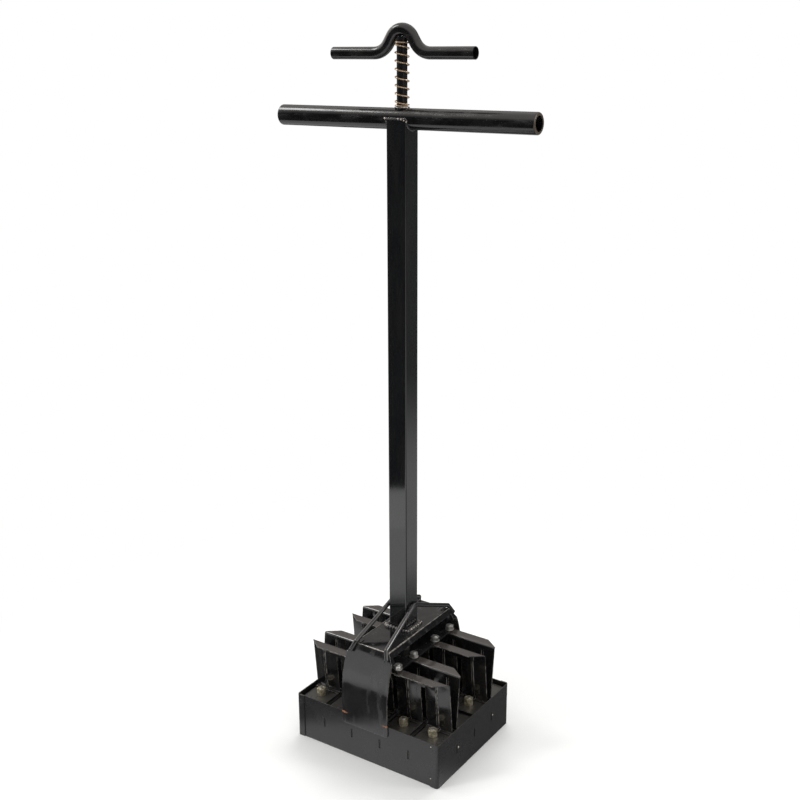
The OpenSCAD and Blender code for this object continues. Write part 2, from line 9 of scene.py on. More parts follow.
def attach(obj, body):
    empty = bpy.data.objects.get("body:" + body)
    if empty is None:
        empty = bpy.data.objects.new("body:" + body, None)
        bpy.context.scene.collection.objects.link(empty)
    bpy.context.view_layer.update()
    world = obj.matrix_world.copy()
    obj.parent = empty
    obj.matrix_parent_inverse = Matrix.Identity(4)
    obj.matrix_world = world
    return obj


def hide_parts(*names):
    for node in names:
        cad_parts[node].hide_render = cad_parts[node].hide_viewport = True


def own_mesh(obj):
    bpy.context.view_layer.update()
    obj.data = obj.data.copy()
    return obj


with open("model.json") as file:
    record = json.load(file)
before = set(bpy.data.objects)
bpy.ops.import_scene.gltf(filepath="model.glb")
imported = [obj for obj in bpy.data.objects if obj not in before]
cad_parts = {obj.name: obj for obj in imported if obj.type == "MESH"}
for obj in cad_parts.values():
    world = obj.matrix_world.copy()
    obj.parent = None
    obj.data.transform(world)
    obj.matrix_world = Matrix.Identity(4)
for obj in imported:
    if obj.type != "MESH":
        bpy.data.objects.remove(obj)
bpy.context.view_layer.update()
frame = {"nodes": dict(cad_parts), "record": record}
nodes = frame["nodes"]
print("frame loaded:", len(nodes), "nodes")

# All shapes below are worked out in millimetres and scaled once, in makeMesh.

# settings of the nodes that are used again and again
smooth = {"interpolation_type": "SMOOTHSTEP"}
numbers, colours = {"data_type": "FLOAT"}, {"data_type": "RGBA"}
add, subtract, multiply, largest, absolute, length, dot = (
    {"operation": word} for word in ("ADD", "SUBTRACT", "MULTIPLY", "MAXIMUM", "ABSOLUTE", "LENGTH", "DOT_PRODUCT"))


def linear(colour):
    # sRGB hex text to linear values
    parts = [int(colour[i:i + 2], 16) / 255 for i in (1, 3, 5)]
    return [c / 12.92 if c <= 0.04045 else ((c + 0.055) / 1.055) ** 2.4 for c in parts] + [1.0]


def addNode(tree, kind, settings=None, *values, **inputs):
    # one node with its settings and links: values fill the inputs in order, the others go by name, or as iN by number;
    # a value is a number, a tuple, a socket, or a node, which stands for its first output in use
    node = tree.nodes.new("ShaderNode" + kind)
    for key, value in (settings or {}).items():
        setattr(node, key, value)
    named = [(int(key[1:]) if key[1:].isdigit() else key.replace("_", " "), value) for key, value in inputs.items()]
    for key, value in list(enumerate(values)) + named:
        if isinstance(value, bpy.types.Node):
            value = next(socket for socket in value.outputs if socket.enabled)
        if isinstance(value, bpy.types.NodeSocket):
            tree.links.new(value, node.inputs[key])
        else:
            node.inputs[key].default_value = value
    return node


def makeMesh(name, points, faces, material, body, slot, replaced=()):
    # a piece on its body, shown instead of the plain nodes that it replaces
    mesh = bpy.data.meshes.new(name)
    mesh.from_pydata([(x / 1000, y / 1000, z / 1000) for x, y, z in points], [], faces)
    mesh.update()
    piece = bpy.data.objects.new(name, mesh)
    bpy.context.scene.collection.objects.link(piece)
    mesh.materials.append(material)
    mesh.shade_smooth()
    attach(piece, body)
    if replaced:
        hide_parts(*replaced)
    return piece


def soften(piece, widthMm, segments=2, angle=30):
    # rounds the sharp edges of a piece, so that they catch the light
    bevel = piece.modifiers.new("edge rounding", "BEVEL")
    bevel.width = widthMm / 1000
    bevel.segments = segments
    bevel.limit_method = "ANGLE"
    bevel.angle_limit = math.radians(angle)
    bevel.harden_normals = True


def joinShapes(shapes):
    # several (points, faces) pairs as one
    points, faces = [], []
    for somePoints, someFaces in shapes:
        start = len(points)
        points += somePoints
        faces += [tuple(i + start for i in face) for face in someFaces]
    return points, faces


def moved(shape, offset, turnZ=0.0):
    spin = Matrix.Rotation(math.radians(turnZ), 3, "Z")
    return [tuple(spin @ Vector(p) + Vector(offset)) for p in shape[0]], shape[1]


def sweptShape(path, radiusAt, sides, closed=False):
    # a tube along a path; radiusAt gives the radius at each distance along it
    path = [Vector(p) for p in path]
    count = len(path)
    points, faces, distance, side = [], [], 0.0, None
    for i, p in enumerate(path):
        before = path[i - 1] if i or closed else p
        after = path[(i + 1) % count] if i < count - 1 or closed else p
        along = (after - before).normalized()
        if side is None:
            side = along.cross(Vector((0, 0, 1)) if abs(along.z) < 0.9 else Vector((1, 0, 0)))
        side = (side - along * side.dot(along)).normalized()
        other = along.cross(side)
        distance += (p - before).length if i else 0.0
        r = radiusAt(distance)
        for k in range(sides):
            a = 2 * math.pi * k / sides
            points.append(tuple(p + r * (math.cos(a) * side + math.sin(a) * other)))
    for i in range(count if closed else count - 1):
        j = (i + 1) % count
        faces += [(i * sides + k, i * sides + (k + 1) % sides, j * sides + (k + 1) % sides, j * sides + k)
                  for k in range(sides)]
    if not closed:
        last = (count - 1) * sides
        faces += [tuple(range(sides - 1, -1, -1)), tuple(range(last, last + sides))]
    return points, faces


def spacedPath(corners, step):
    # the corners joined by points a step apart
    path = []
    for a, b in zip(corners[:-1], corners[1:]):
        a, b = Vector(a), Vector(b)
        parts = max(1, round((b - a).length / step))
        path += [a.lerp(b, i / parts) for i in range(parts)]
    return path + [Vector(corners[-1])]


cameraLook = {"place": (0.7795, -1.1653, 0.9143), "right": (0.8297, 0.5582, 0.0), "up": (-0.1641, 0.2439, 0.9558),
              "roll": -0.19, "focalPixels": 1142.1, "imagePixels": 800}


def makeCamera(look):
    right, up = Vector(look["right"]).normalized(), Vector(look["up"]).normalized()
    turn = Matrix((right, up, right.cross(up))).transposed().to_4x4()
    data = bpy.data.cameras.new("camera")
    data.sensor_width = 36
    data.lens = look["focalPixels"] / look["imagePixels"] * data.sensor_width
    data.clip_start = 0.05
    camera = bpy.data.objects.new("camera", data)
    roll = Matrix.Rotation(math.radians(look["roll"]), 4, "Z")
    camera.matrix_world = Matrix.Translation(Vector(look["place"])) @ turn @ roll
    bpy.context.scene.collection.objects.link(camera)
    bpy.context.scene.camera = camera


makeCamera(cameraLook)
bpy.context.scene.view_settings.view_transform = "Standard"

lampLooks = {
    "key_softbox": {"place": (-1.5, -0.45, 2.3), "aim": (0, 0, 0.6), "size": (0.6, 0.6), "watts": 9, "mirrored": True},
    "paper_lamp": {"place": (-1.3, -1.9, 1.5), "aim": (-0.45, -0.7, 0), "size": (0.5, 0.9), "watts": 18,
                   "mirrored": False},
    "side_softbox": {"place": (2.0, 0.9, 1.7), "aim": (0, 0, 0.4), "size": (0.3, 1.0), "watts": 8, "mirrored": True},
    "top_softbox": {"place": (-0.2, 1.3, 2.4), "aim": (0, 0, 0.5), "size": (1.8, 0.7), "watts": 26, "mirrored": False},
}


def makeLamp(name, look):
    data = bpy.data.lights.new(name, "AREA")
    data.shape = "RECTANGLE"
    data.size, data.size_y = look["size"]
    data.energy = look["watts"]
    lamp = bpy.data.objects.new(name, data)
    lamp.location = look["place"]
    lamp.rotation_euler = (Vector(look["aim"]) - Vector(look["place"])).to_track_quat("-Z", "Y").to_euler()
    lamp.visible_glossy = look["mirrored"]  # a lamp that isn't mirrored lights the object without glare
    bpy.context.scene.collection.objects.link(lamp)


for name, look in lampLooks.items():
    makeLamp(name, look)

roomLook = {"fill": 0.75, "warm": (1.0, 0.955, 0.925, 1.0), "dark": 0.02, "ceiling": 0.95, "ceilingAt": (0.26, 0.75),
            "back": 0.36, "backAt": (0.2, 0.9), "backEndsAt": (-0.3, 0.4), "backRight": 0.12,
            "sides": 1.6, "sidesAt": (0.70, 0.80), "horizonAt": (-0.02, 0.25), "underHorizon": 0.06}


def makeRoom(look):
    # white to the camera, an even fill on the surfaces, and a room in reflections: dark in front, paler above and
    # behind at the left, with a bright wall at either side
    world = bpy.data.worlds.new("studio")
    bpy.context.scene.world = world
    world.use_nodes = True
    tree = world.node_tree
    tree.nodes.clear()
    way = addNode(tree, "SeparateXYZ", None, addNode(tree, "TexCoord").outputs["Generated"])
    rise = addNode(tree, "MapRange", smooth, way.outputs["Z"], *look["ceilingAt"], look["dark"], look["ceiling"])
    above = addNode(tree, "MapRange", smooth, way.outputs["Z"], *look["horizonAt"], look["underHorizon"], 1.0)
    back = addNode(tree, "MapRange", smooth, way.outputs["Y"], *look["backAt"], 0.0, look["back"])
    leftwards = addNode(tree, "MapRange", smooth, way.outputs["X"], *look["backEndsAt"], 1.0, look["backRight"])
    back = addNode(tree, "Math", multiply, addNode(tree, "Math", multiply, back, leftwards), above)
    sides = addNode(tree, "MapRange", smooth, addNode(tree, "Math", absolute, way.outputs["X"]), *look["sidesAt"],
                    0.0, look["sides"])
    sides = addNode(tree, "Math", multiply, sides, above)
    mirrored = addNode(tree, "Math", largest, addNode(tree, "Math", largest, rise, back), sides)
    ray = addNode(tree, "LightPath")
    level = addNode(tree, "Mix", numbers, ray.outputs["Is Glossy Ray"], i2=look["fill"], i3=mirrored)
    level = addNode(tree, "Mix", numbers, ray.outputs["Is Camera Ray"], i2=level, i3=1.0)
    colour = addNode(tree, "Mix", colours, ray.outputs["Is Glossy Ray"], i6=(1, 1, 1, 1), i7=look["warm"])
    light = addNode(tree, "Background", None, Color=colour, Strength=level)
    addNode(tree, "OutputWorld", None, Surface=light)


makeRoom(roomLook)


def startMaterial(name):
    material = bpy.data.materials.new(name)
    material.use_nodes = True
    tree = material.node_tree
    tree.nodes.clear()
    return material, tree, addNode(tree, "TexCoord").outputs["Object"]


def stageSheet(name, corners, material):
    # a flat sheet of the studio, in metres
    mesh = bpy.data.meshes.new(name)
    mesh.from_pydata([tuple(c) for c in corners], [], [(0, 1, 2, 3)])
    mesh.materials.append(material)
    sheet = bpy.data.objects.new(name, mesh)
    bpy.context.scene.collection.objects.link(sheet)
    return sheet


# ways across the floor from the object's middle: behind is away from the camera, sideways to the right
behindWay, sidewaysWay = (0.556, 0.831, 0), (0.831, -0.556, 0)
ahead = -Vector(behindWay).normalized()
aside = Vector((ahead.y, -ahead.x, 0))
floorLook = {"colour": "#f2f2f0", "roughness": 0.9, "front": 0.87, "back": 40, "side": 40, "sink": 0.0003,
             "shadowFade": (0.30, 0.75), "mirrorNear": 0.85, "mirrorBeside": 0.13, "mirrorFar": 0.6, "mirrorEnd": 0.1,
             "besideAt": (-0.06, 0.06), "farAt": (0.35, 0.6), "endAt": (0.9, 1.9),
             # where the painted shade in the floor's reflections lies, and how deep it is
             "paintedShadeNearAt": (-0.19, -0.15), "paintedShadeFarAt": (-0.45, -0.39), "paintedShadeSideAt": (0.13, 0.19),
             "paintedShadeDepth": 0.76}


def makeFloor(look):
    # plain pale paper: it keeps the soft shadow near the object and is plain white further off
    paper, tree, place = startMaterial("matt_white_paper")
    # painted reflection: for mirror rays the paper glows, bright in front, dimmer beside the object as painted shade,
    # fading out behind it
    behind = addNode(tree, "VectorMath", dot, place, behindWay)
    level = addNode(tree, "MapRange", smooth, behind, *look["besideAt"], look["mirrorNear"], look["mirrorBeside"])
    farther = addNode(tree, "MapRange", smooth, behind, *look["farAt"], 0.0, look["mirrorFar"] - look["mirrorBeside"])
    ending = addNode(tree, "MapRange", smooth, behind, *look["endAt"], 0.0, look["mirrorEnd"] - look["mirrorFar"])
    level = addNode(tree, "Math", add, addNode(tree, "Math", add, level, farther), ending)
    # painted shade in the reflections: right in front the paper glows less for mirror rays, so that the lower bridge
    # leg mirrors less light than its upper part
    sideways = addNode(tree, "Math", absolute, addNode(tree, "VectorMath", dot, place, sidewaysWay))
    near = addNode(tree, "MapRange", smooth, behind, *look["paintedShadeNearAt"], look["paintedShadeDepth"], 0.0)
    far = addNode(tree, "MapRange", smooth, behind, *look["paintedShadeFarAt"])
    within = addNode(tree, "MapRange", smooth, sideways, *look["paintedShadeSideAt"], 1.0, 0.0)
    paintedShade = addNode(tree, "Math", multiply, addNode(tree, "Math", multiply, near, far), within)
    level = addNode(tree, "Math", subtract, level, paintedShade)
    ray = addNode(tree, "LightPath")
    strength = addNode(tree, "Mix", numbers, ray.outputs["Is Glossy Ray"], i2=1.0, i3=level)
    white = addNode(tree, "Emission", None, Color=(1, 1, 1, 1), Strength=strength)
    matt = addNode(tree, "BsdfPrincipled", None, Base_Color=linear(look["colour"]), Roughness=look["roughness"])
    away = addNode(tree, "VectorMath", length, place)
    fade = addNode(tree, "MapRange", smooth, away, *look["shadowFade"])
    share = addNode(tree, "Math", multiply, fade, ray.outputs["Is Camera Ray"])
    share = addNode(tree, "Math", largest, share, ray.outputs["Is Glossy Ray"])
    addNode(tree, "OutputMaterial", None, Surface=addNode(tree, "MixShader", None, share, matt, white))
    corners = [ahead * f + aside * s for f, s in ((look["front"], -look["side"]), (look["front"], look["side"]),
                                                  (-look["back"], look["side"]), (-look["back"], -look["side"]))]
    stageSheet("floor", [(c.x, c.y, -look["sink"]) for c in corners], paper)


makeFloor(floorLook)

cardLooks = {
    "low_white_card": {"distance": 0.52, "low": 0.0, "high": 0.165, "half": 0.45, "strength": 1.05},
    "small_raised_card": {"distance": 0.25, "low": 0.112, "high": 0.205, "half": 0.2, "strength": 0.9},
}


def makeCard(name, look):
    # a white card in front of the object: only its reflection in the enamel shows
    material, tree = startMaterial(name)[:2]
    glow = addNode(tree, "Emission", None, Color=(1, 1, 1, 1), Strength=look["strength"])
    addNode(tree, "OutputMaterial", None, Surface=glow)
    corners = [ahead * look["distance"] + aside * way * look["half"] + Vector((0, 0, z)) for way, z in
               ((-1, look["low"]), (1, look["low"]), (1, look["high"]), (-1, look["high"]))]
    card = stageSheet(name, corners, material)
    for ray in ("visible_camera", "visible_diffuse", "visible_shadow", "visible_transmission"):
        setattr(card, ray, False)


for name, look in cardLooks.items():
    makeCard(name, look)
print("studio ready")


def paintedReflectionMarks(tree, place, look):
    # painted reflection: thin orange smears at the side edges, thinning out inwards; sizes in mm
    split = addNode(tree, "SeparateXYZ", None, place)
    wobble = addNode(tree, "TexNoise", None, Vector=place, Scale=1000 / look["wobbleMm"], Detail=3.0, Roughness=0.7)
    wobble = addNode(tree, "MapRange", smooth, wobble, 0.3, 0.7, -look["wobbleBy"] / 1000, look["wobbleBy"] / 1000)
    height = addNode(tree, "Math", add, split.outputs["Z"], wobble)
    offset = addNode(tree, "Math", absolute, addNode(tree, "Math", subtract, height, look["height"] / 1000))
    sideways = addNode(tree, "Math", absolute, split.outputs["X"])
    half = addNode(tree, "MapRange", smooth, sideways, look["from"] / 1000, look["to"] / 1000, 0.0, look["half"] / 1000)
    return addNode(tree, "MapRange", smooth, addNode(tree, "Math", subtract, half, offset), 0.0, look["soft"] / 1000)


# what all enamels share: where their cloud and streaks begin and end, and the orange peel
enamelBase = {"rubbedAt": (0.48, 0.72), "dustyAt": (0.35, 0.7), "roughAt": (0.3, 0.75), "dustAndTopLightAt": (0.6, 0.95),
              "edgeAt": (0.7, 1.0), "edgeBreakAt": (0.36, 0.6), "rimMm": 1.2, "peelMm": 0.9, "peelDepthMm": 0.02}


def enamel(name, look, base):
    # black enamel on steel: a gloss with a dusty cloud and rubbed streaks, faint orange peel and slow waves
    material, tree, place = startMaterial(name)
    cloud = addNode(tree, "TexNoise", None, Vector=place, Scale=1000 / look["cloudMm"], Detail=3.0, Roughness=0.5)
    drawn = addNode(tree, "Mapping", None, Vector=place, Scale=look["streak"])
    streak = addNode(tree, "TexNoise", None, Vector=drawn, Scale=1000 / look["streakMm"], Detail=3.0, Roughness=0.6)
    streak = addNode(tree, "MapRange", smooth, streak, *base["rubbedAt"])
    dusty = addNode(tree, "MapRange", smooth, cloud, *base["dustyAt"])
    colour = addNode(tree, "Mix", colours, dusty, i6=linear(look["colour"]), i7=linear(look["dusty"]))
    colour = addNode(tree, "Mix", colours, streak, i6=colour, i7=linear(look["rubbedAndHighlight"]))
    rough = addNode(tree, "MapRange", smooth, cloud, *base["roughAt"], *look["roughness"])
    smear = addNode(tree, "MapRange", smooth, streak, 0.0, 1.0, 0.0, look["smear"])
    rough = addNode(tree, "Math", add, rough, smear)
    if "dustAndTopLight" in look:  # lighter on what faces up: settled dust, together with painted light on the upward faces
        facing = addNode(tree, "SeparateXYZ", None, addNode(tree, "NewGeometry").outputs["Normal"])
        upward = addNode(tree, "MapRange", smooth, facing.outputs["Z"], *base["dustAndTopLightAt"])
        colour = addNode(tree, "Mix", colours, upward, i6=colour, i7=linear(look["dustAndTopLight"]))
    if "edge" in look:  # painted highlight: a pale colour along the edges that are marked on the mesh, in broken lines
        marked = addNode(tree, "Attribute", {"attribute_name": "painted_edge_highlight"}).outputs["Fac"]
        marked = addNode(tree, "MapRange", smooth, marked, *base["edgeAt"])
        broken = addNode(tree, "TexNoise", None, Vector=place, Scale=1000 / look["edgeBreakMm"], Detail=2.0)
        broken = addNode(tree, "MapRange", smooth, broken, *base["edgeBreakAt"], 0.15, 1.0)
        marked = addNode(tree, "Math", multiply, marked, broken)
        colour = addNode(tree, "Mix", colours, marked, i6=colour, i7=linear(look["edge"]))
    if "rim" in look:  # the rolled rims of a tube along X, rubbed by hands
        sideways = addNode(tree, "Math", absolute, addNode(tree, "SeparateXYZ", None, place).outputs["X"])
        rim = addNode(tree, "MapRange", smooth, sideways, (look["rimAt"] - base["rimMm"]) / 1000,
                      look["rimAt"] / 1000)
        colour = addNode(tree, "Mix", colours, rim, i6=colour, i7=linear(look["rim"]))
    # painted reflection: orange smears with a duller gloss
    if "orangeReflection" in look:
        reflectedOrange = paintedReflectionMarks(tree, place, look["orangeReflection"])
        colour = addNode(tree, "Mix", colours, reflectedOrange, i6=colour, i7=linear(look["orangeReflection"]["colour"]))
        dull = addNode(tree, "MapRange", smooth, reflectedOrange, 0.0, 1.0, 0.0, look["orangeReflection"]["roughness"])
        rough = addNode(tree, "Math", add, rough, dull)
    peel = addNode(tree, "TexNoise", None, Vector=place, Scale=1000 / base["peelMm"], Detail=2.0, Roughness=0.5)
    normal = addNode(tree, "Bump", None, Height=peel, Distance=base["peelDepthMm"] / 1000, Strength=look["peel"])
    wave = addNode(tree, "TexNoise", None, Vector=place, Scale=1000 / look["waveMm"], Detail=1.0, Roughness=0.5)
    normal = addNode(tree, "Bump", None, Height=wave, Distance=look["waveDepthMm"] / 1000, Strength=1.0, Normal=normal)
    shader = addNode(tree, "BsdfPrincipled", None, Base_Color=colour, Roughness=rough, Normal=normal, Metallic=0.0,
                     IOR=look["ior"])
    addNode(tree, "OutputMaterial", None, Surface=shader)
    return material


# what all platings share: where their bloom begins and ends, the grime in spots and the fine grain
platedBase = {"dullAt": (0.38, 0.66), "roughAt": (0.3, 0.7), "grimeMm": 1.2, "grimeAt": (0.58, 0.72),
              "grimeColour": "#2a2723", "grainMm": 0.5, "grainDepthMm": 0.01, "grain": 0.3, "metal": 0.85}


def plated(name, look, base):
    # metal with a soft shine, a dull bloom and grime in spots; the dust on it makes it a little less than all metal
    material, tree, place = startMaterial(name)
    bloom = addNode(tree, "TexNoise", None, Vector=place, Scale=1000 / look["bloomMm"], Detail=4.0, Roughness=0.65)
    dull = addNode(tree, "MapRange", smooth, bloom, *base["dullAt"])
    colour = addNode(tree, "Mix", colours, dull, i6=linear(look["colour"]), i7=linear(look["dull"]))
    grime = addNode(tree, "TexNoise", None, Vector=place, Scale=1000 / base["grimeMm"], Detail=3.0, Roughness=0.7)
    grime = addNode(tree, "MapRange", smooth, grime, *base["grimeAt"], 0.0, look["grime"])
    colour = addNode(tree, "Mix", colours, grime, i6=colour, i7=linear(base["grimeColour"]))
    rough = addNode(tree, "MapRange", smooth, bloom, *base["roughAt"], *look["roughness"])
    grain = addNode(tree, "TexNoise", None, Vector=place, Scale=1000 / base["grainMm"], Detail=2.0, Roughness=0.5)
    normal = addNode(tree, "Bump", None, Height=grain, Distance=base["grainDepthMm"] / 1000, Strength=base["grain"])
    shader = addNode(tree, "BsdfPrincipled", None, Base_Color=colour, Roughness=rough, Normal=normal,
                     Metallic=base["metal"])
    addNode(tree, "OutputMaterial", None, Surface=shader)
    return material


enamelLooks = {
    # sprayed on flat sheet: nearly even, a broad soft sheen
    "black_enamel_on_sheet": {"colour": "#1f1f20", "dusty": "#252424", "rubbedAndHighlight": "#252424", "cloudMm": 40,
                              "roughness": (0.22, 0.30), "streak": (1, 1, 0.5), "streakMm": 24, "smear": 0.03,
                              "peel": 0.03, "waveMm": 30, "waveDepthMm": 0.06, "ior": 1.55, "dustAndTopLight": "#3b3936"},
    # on thick bent plate: a wet gloss, with broad upright smears that scatter the light
    "black_enamel_on_bent_plate": {"colour": "#121213", "dusty": "#1a1919", "rubbedAndHighlight": "#232222", "cloudMm": 26,
                                   "roughness": (0.08, 0.16), "streak": (1, 1, 0.22), "streakMm": 16, "smear": 0.22,
                                   "peel": 0.03, "waveMm": 24, "waveDepthMm": 0.22, "ior": 1.7,
                                   # painted highlight along the marked edges
                                   "edge": "#b4aea4", "edgeBreakMm": 9,
                                   # painted reflection: orange smears low on the legs
                                   "orangeReflection": {"colour": "#94582f", "roughness": 0.4, "height": 65.0, "from": 20.0,
                                            "to": 36.5, "half": 1.5, "soft": 1.0, "wobbleMm": 4, "wobbleBy": 1.2}},
    # on pressed thin sheet: a wavy, liquid gloss with soft upright smears
    "black_enamel_on_pressed_rail": {"colour": "#0f0f10", "dusty": "#171615", "rubbedAndHighlight": "#1d1c1b", "cloudMm": 20,
                                     "roughness": (0.10, 0.18), "streak": (1, 1, 0.12), "streakMm": 12, "smear": 0.16,
                                     "peel": 0.03, "waveMm": 16, "waveDepthMm": 0.04, "ior": 1.7, "dustAndTopLight": "#3a3634",
                                     # painted highlight along the marked edges
                                     "edge": "#7d7872", "edgeBreakMm": 9},
    # on square tube: a flat satin gloss, blue-grey where it mirrors something pale
    "black_enamel_on_square_tube": {"colour": "#101113", "dusty": "#151617", "rubbedAndHighlight": "#181818", "cloudMm": 60,
                                    "roughness": (0.06, 0.10), "streak": (1, 1, 0.15), "streakMm": 18, "smear": 0.03,
                                    "peel": 0.04, "waveMm": 60, "waveDepthMm": 0.05, "ior": 1.8},
    # on round tube: mottled along its length where hands rub it
    "black_enamel_on_round_tube": {"colour": "#0d0d0e", "dusty": "#161616", "rubbedAndHighlight": "#1f1f1f", "cloudMm": 22,
                                   "roughness": (0.10, 0.2), "streak": (0.2, 1, 1), "streakMm": 7, "smear": 0.2,
                                   "peel": 0.12, "waveMm": 18, "waveDepthMm": 0.06, "ior": 1.6,
                                   "rim": "#4f473d", "rimAt": 183.0},
    # inside the mould, worn dull and brownish by soil
    "worn_enamel_in_the_mould": {"colour": "#151414", "dusty": "#25211d", "rubbedAndHighlight": "#2a2622", "cloudMm": 12,
                                 "roughness": (0.28, 0.5), "streak": (1, 1, 0.3), "streakMm": 8, "smear": 0.1,
                                 "peel": 0.3, "waveMm": 20, "waveDepthMm": 0.1, "ior": 1.5},
    # over weld: thick and glossy, pooled between the ripples
    "enamel_over_weld_bead": {"colour": "#121212", "dusty": "#201e1d", "rubbedAndHighlight": "#2a2827", "cloudMm": 5,
                              "roughness": (0.05, 0.12), "streak": (1, 1, 1), "streakMm": 3, "smear": 0.04,
                              "peel": 0.1, "waveMm": 3, "waveDepthMm": 0.06, "ior": 1.9},
}
platedLooks = {
    # clear zinc: silver with a grey bloom
    "bright_zinc_plate": {"colour": "#c9c8c4", "dull": "#8f8d88", "bloomMm": 3, "roughness": (0.24, 0.45),
                          "grime": 0.7},
    # yellow passivated zinc, tarnished and dusty
    "yellow_zinc_plate": {"colour": "#ded5b8", "dull": "#a69e88", "bloomMm": 3, "roughness": (0.36, 0.52),
                          "grime": 0.5},
    # drawn spring wire: pale gold, smooth
    "drawn_spring_wire": {"colour": "#d8c0a0", "dull": "#a08468", "bloomMm": 2, "roughness": (0.16, 0.3),
                          "grime": 0.35},
    # painted glints: pale metal with a faint brown tint, put on the welds where they would catch the light
    "pale_metal_painted_glints": {"colour": "#f0ebe2", "dull": "#b5a48e", "bloomMm": 2, "roughness": (0.3, 0.5),
                         "grime": 0.4},
}
# one material for each entry, in the order of the dictionaries
wallEnamel, bridgeEnamel, railEnamel, postEnamel, tubeEnamel, dividerEnamel, weldEnamel = (
    enamel(name, look, enamelBase) for name, look in enamelLooks.items())
brightZinc, yellowZinc, springSteel, glintMetal = (
    plated(name, look, platedBase) for name, look in platedLooks.items())
print("materials ready")


slotOfNode = {s["node"]: s["material_slot"] for s in frame["record"]["subparts"]}
materialOfSlot = {"black_paint": wallEnamel, "dark_paint": dividerEnamel, "painted_weld": weldEnamel,
                  "bright_zinc": brightZinc, "yellow_zinc": yellowZinc, "spring_wire": springSteel}
materialOfNode = {"post": postEnamel, "main_handle": tubeEnamel, "push_handle": tubeEnamel, "push_rod": postEnamel,
                  "bridge": bridgeEnamel, "left_brace_rod": tubeEnamel, "right_brace_rod": tubeEnamel,
                  "crossbar": bridgeEnamel}
edgeWidths = {"post": 0.1, "main_handle": 0.15, "push_handle": 0.15, "bridge": 0.7}

for name, node in nodes.items():
    usual = railEnamel if name.startswith("ejector_rail") else materialOfSlot[slotOfNode[name]]
    material = materialOfNode.get(name, usual)
    node.data.materials.clear()
    node.data.materials.append(material)
    node.data.shade_smooth()
    node.modifiers.new("joined vertices", "WELD").merge_threshold = 0.00001
    soften(node, edgeWidths.get(name, 0.25))
    node.modifiers.new("flat faces stay flat", "WEIGHTED_NORMAL").weight = 100
print("finishes on the nodes")


# sizes of the model in mm that the detailed pieces are built to
size = {"pitch": 45.6, "plateTop": 58.0, "railTop": 133.5, "railHalf": 110.4, "barTop": 136.5, "bridgeTop": 162.0,
        "bridgeFoot": 49.0, "wallFace": 91.8, "wrapFace": 93.0, "post": 28.0,
        "handleAxis": 834.4, "handleRadius": 12.7, "springLow": 848.3, "springHigh": 923.96}
rng = random.Random(11)
columnX = [(i - 2) * size["pitch"] for i in range(5)]
rowY = [(j - 1.5) * size["pitch"] for j in range(4)]


def markEdges(piece, amounts):
    # says for each point how much painted highlight it gets along an edge
    piece.data.attributes.new("painted_edge_highlight", "FLOAT", "POINT").data.foreach_set("value", amounts)


railLook = {"flange": 15.5, "bendY": 12.1, "footY": 4.4, "foot": 7.0, "sheet": 1.5, "bendRadius": 3.0,
            "footRadius": 2.2, "legHalf": 19.3, "bandBottom": 117.0, "cornerCut": 18.0, "cutFrom": 72.0,
            # the pressed ridge on each leg and the narrow crest along it
            "ridge": 2.6, "ridgeTop": 129.0, "ridgeFoot": 59.0, "crestRise": 0.7, "crestTop": 2.4, "crestFoot": 3.6}


def roundedCorner(before, corner, after, radius, count):
    # points of an arc that rounds a corner in a flat path
    a, c, b = Vector(before), Vector(corner), Vector(after)
    toA, toB = (a - c).normalized(), (b - c).normalized()
    half = toA.angle(toB) / 2
    start, end = c + toA * radius / math.tan(half), c + toB * radius / math.tan(half)
    centre = c + (toA + toB).normalized() * radius / math.sin(half)
    fan = []
    for i in range(count + 1):
        way = (start - centre).lerp(end - centre, i / count)
        fan.append(centre + way.normalized() * radius)
    return fan


def railSection(look):
    # the side of the sheet that faces the divider, from the flange's edge to the foot's edge, as (distance, height)
    edge = (look["bendY"] + look["flange"], size["railTop"])
    bend = (look["bendY"], size["railTop"])
    heel = (look["footY"], size["plateTop"])
    toe = (look["footY"] + look["foot"], size["plateTop"])
    path = spacedPath([edge + (0,), bend + (0,)], 3.0)[:-2]
    path = [Vector(p[:2]) for p in path]
    path += roundedCorner(edge, bend, heel, look["bendRadius"], 6)
    top, low = path[-1], roundedCorner(bend, heel, toe, look["footRadius"], 5)
    levels = [126, 122, look["bandBottom"], 110, 100, 90, 80, 72, 66]
    path += [top.lerp(low[0], (top.y - z) / (top.y - low[0].y)) for z in levels]
    return path + low + [Vector(toe)]


